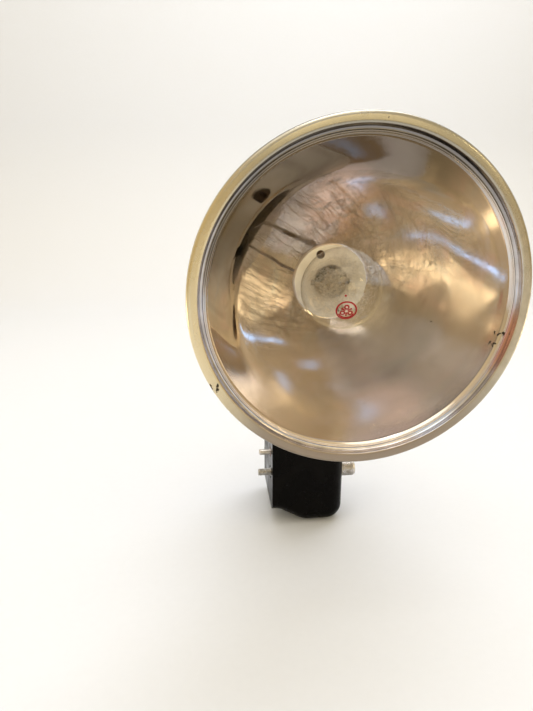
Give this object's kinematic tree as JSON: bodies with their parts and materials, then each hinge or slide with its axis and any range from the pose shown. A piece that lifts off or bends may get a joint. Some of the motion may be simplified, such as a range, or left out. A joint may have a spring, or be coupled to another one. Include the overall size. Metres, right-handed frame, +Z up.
{
  "type": "flash bulb gun",
  "caption": "Side-mounted flash bulb gun for a box camera: black two-cell case, deep round bright reflector, clear bulb, captive mounting screw and push-button ejector.",
  "frame": {"origin": "axis of the mounting screw, on the face that lies against the camera's side", "axes": "+X away from the camera towards the thumb knob, -Y the way the reflector faces, +Z up"},
  "size_m": [0.127, 0.1255, 0.2055],
  "materials": {
    "case": "moulded black plastic, soft polish",
    "plate": "blank exposure-guide plate, satin",
    "reflector": "polished, aged and slightly stained",
    "satin_steel": "satin nickel plate",
    "bright_steel": "bright zinc plate",
    "spring_steel": "spring wire",
    "nickel": "satin nickel plate",
    "rivet_brass": "tarnished brass",
    "brass": "plain brass",
    "solder": "solder",
    "fibre": "vulcanised fibre",
    "insulator": "black insulating glass and pitch",
    "glass": "clear blown glass",
    "wool": "finely shredded foil, very loose",
    "primer": "primer paste",
    "button": "moulded black button",
    "zinc": "drawn can",
    "filling": "pressed depolariser mix",
    "jacket": "printed card jacket, no lettering",
    "wire": "insulated hook-up wire"
  },
  "bodies": {
    "case": {"case_body": "case", "centre_contact_spring": "spring_steel", "centre_contact_tag": "brass", "collar": "satin_steel", "collar_screws": "bright_steel", "contact_pin": "nickel", "contact_pin_bush": "fibre", "contact_pin_nut": "brass", "contact_pin_tag": "brass", "cover_screw_insert": "brass", "ejector_bracket": "satin_steel", "ejector_spring": "spring_steel", "ejector_spring_washer": "fibre", "lead_wire": "wire", "lower_cell_can": "zinc", "lower_cell_cap": "brass", "lower_cell_filling": "filling", "lower_cell_jacket": "jacket", "lower_cell_seal": "insulator", "negative_spring": "spring_steel", "negative_strip": "brass", "positive_strip": "brass", "positive_strip_rivet": "rivet_brass", "reflector": "reflector", "reflector_rivets": "rivet_brass", "seat_ring": "satin_steel", "socket_insulator": "fibre", "socket_shell": "satin_steel", "socket_snap_ring": "spring_steel", "upper_cell_can": "zinc", "upper_cell_cap": "brass", "upper_cell_filling": "filling", "upper_cell_jacket": "jacket", "upper_cell_seal": "insulator"},
    "cover": {"rear_cover": "case", "guide_plate": "plate", "guide_plate_rivets": "bright_steel"},
    "cover_fastener": {"cover_screw": "bright_steel"},
    "ejector": {"ejector_fork": "satin_steel", "ejector_button": "button"},
    "bulb": {"bulb_base": "brass", "bulb_base_insulator": "insulator", "bulb_glass": "glass", "bulb_leads": "spring_steel", "bulb_primer_beads": "primer", "bulb_stem": "glass", "bulb_tip": "solder", "bulb_wool": "wool"},
    "plunger": {"centre_contact": "brass"},
    "clip": {"screw_clip": "spring_steel"},
    "thumb_screw": {"screw_shaft": "bright_steel", "screw_thread": "bright_steel", "thumb_knob": "nickel"}
  },
  "joints": [
    {"name": "ejector_push", "type": "slide", "parent": "case", "child": "ejector", "axis": [0, -1, 0], "range_m": [0, 0.006], "stiffness_N_per_m": 300, "springref_m": -0.003, "deforming": ["ejector_spring"]},
    {"name": "bulb_pull", "type": "slide", "parent": "ejector", "child": "bulb", "axis": [0, -1, 0], "range_m": [0, 0.045]},
    {"name": "contact_press", "type": "slide", "parent": "case", "child": "plunger", "axis": [0, 1, 0], "range_m": [0, 0.001], "stiffness_N_per_m": 200, "springref_m": -0.001, "deforming": ["centre_contact_spring"]},
    {"name": "cover_slide", "type": "slide", "parent": "case", "child": "cover", "axis": [0, 1, 0], "range_m": [0, 0.045]},
    {"name": "cover_screw_turn", "type": "hinge", "parent": "cover", "child": "cover_fastener", "pos_m": [0.0245, 0.033, 0.088], "axis": [0, 1, 0], "continuous": true},
    {"name": "screw_travel", "type": "slide", "parent": "case", "child": "clip", "axis": [1, 0, 0], "range_m": [0, 0.00476]},
    {"name": "screw_turn", "type": "hinge", "parent": "clip", "child": "thumb_screw", "pos_m": [0.045, 0, 0], "axis": [1, 0, 0], "range_deg": [0, 2160]}
  ],
  "couplings": [
    {"joint": "screw_turn", "follows": "screw_travel", "rad_per_m": 7915.8}
  ]
}
